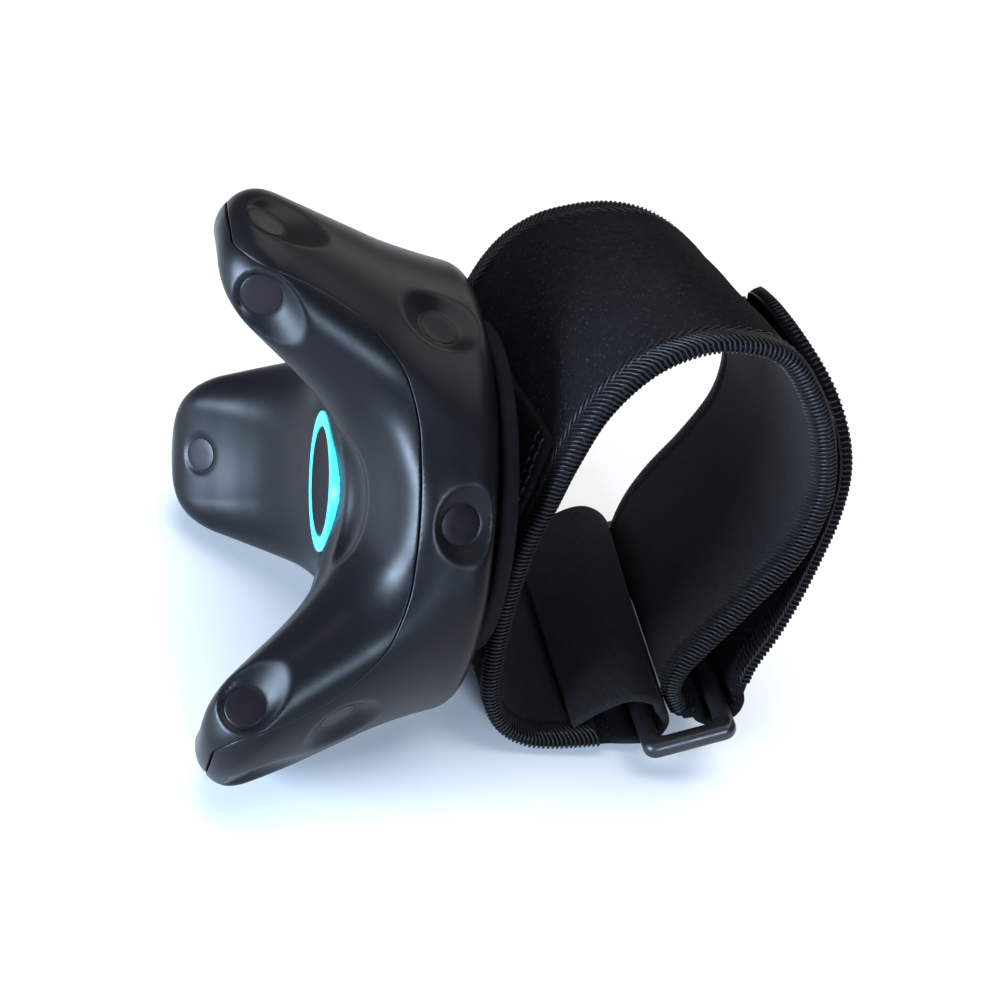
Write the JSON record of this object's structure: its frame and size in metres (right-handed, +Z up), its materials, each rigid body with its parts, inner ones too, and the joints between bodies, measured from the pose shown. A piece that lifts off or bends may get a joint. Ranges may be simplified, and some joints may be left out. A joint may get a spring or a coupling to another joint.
{
  "type": "motion tracker with wrist strap",
  "caption": "Dished motion-tracking puck with upright arms and sensor dishes, screwed to a padded hook-and-loop wrist strap with a plastic ring.",
  "frame": {"origin": "on the table, under the middle of the object as it lies on its side", "axes": "+X from the puck to the far side of the strap, +Y along the axis of the strap's loop, +Z up"},
  "size_m": [0.1027, 0.0886, 0.0836],
  "materials": {
    "case_plastic": "satin, finely textured",
    "inner_plastic": "matte",
    "window": "smooth infrared-pass plastic",
    "light_guide": "translucent, lit from below",
    "rubber": "matte",
    "ring_plastic": "moulded nylon, semi-gloss",
    "loop_fabric": "brushed loop pile",
    "lining_fabric": "fine knit over neoprene",
    "edge_thread": "glossy overlock thread",
    "hook_fabric": "moulded hooks on woven tape",
    "webbing": "plain weave",
    "steel": "zinc plated",
    "brass": "machined",
    "gold_plate": "gold plated",
    "board": "solder mask",
    "chip_body": "moulded epoxy",
    "ceramic_white": "glazed",
    "battery_foil": "foil pouch",
    "ribbon": "polyimide film"
  },
  "bodies": {
    "strap": {"strap_band": "loop_fabric", "band_lining": "lining_fabric", "edge_binding_near": "edge_thread", "edge_binding_far": "edge_thread", "mount_pad": "rubber", "mount_plate": "inner_plastic", "locating_pin": "steel", "mount_patch": "loop_fabric", "anchor_loop": "webbing", "tail_fold": "webbing"},
    "tracker": {"top_cover": "case_plastic", "bottom_case": "case_plastic", "screw_posts": "inner_plastic", "case_screws": "steel", "light_ring": "light_guide", "inner_frame": "inner_plastic", "battery": "battery_foil", "main_board": "board", "tact_switch": "chip_body", "processor_chip": "chip_body", "radio_module": "steel", "motion_sensor": "chip_body", "antenna": "ceramic_white", "status_leds": "ceramic_white", "usb_port": "steel", "usb_board": "board", "contact_board": "board", "contact_pads": "gold_plate", "threaded_insert": "brass", "base_pad": "rubber", "sensor_windows": "window", "sensor_boards": "board", "flex_ribbon_up": "ribbon", "flex_ribbon_far": "ribbon", "flex_ribbon_near": "ribbon"},
    "power_button": {"power_button": "case_plastic"},
    "mount_screw": {"mount_screw": "steel", "screw_clip": "steel"},
    "buckle_ring": {"buckle_ring": "ring_plastic"},
    "strap_tail": {"strap_tail": "loop_fabric", "hook_patch": "hook_fabric"}
  },
  "joints": [
    {"name": "mount_screw_turn", "type": "hinge", "parent": "strap", "child": "mount_screw", "pos_m": [-0.0056, 0, 0.036], "axis": [0.9968, 0, 0.0802], "range_deg": [0, 1801]},
    {"name": "tracker_lift", "type": "slide", "parent": "strap", "child": "tracker", "axis": [-0.9968, 0, -0.0802], "range_m": [0, 0.00635]},
    {"name": "power_button_press", "type": "slide", "parent": "tracker", "child": "power_button", "axis": [0.9968, 0, 0.0802], "range_m": [0, 0.0004], "stiffness_N_per_m": 900, "springref_m": -0.0008},
    {"name": "buckle_ring_play", "type": "hinge", "parent": "strap", "child": "buckle_ring", "pos_m": [0.0325, 0, 0.00617], "axis": [0, 1, 0], "range_deg": [-3, 3]},
    {"name": "strap_tail_peel", "type": "hinge", "parent": "strap", "child": "strap_tail", "pos_m": [0.04744, 0, 0.01338], "axis": [0, 1, 0], "range_deg": [0, 60]}
  ],
  "couplings": [
    {"joint": "mount_screw_turn", "follows": "tracker_lift", "rad_per_m": 4947.4}
  ]
}
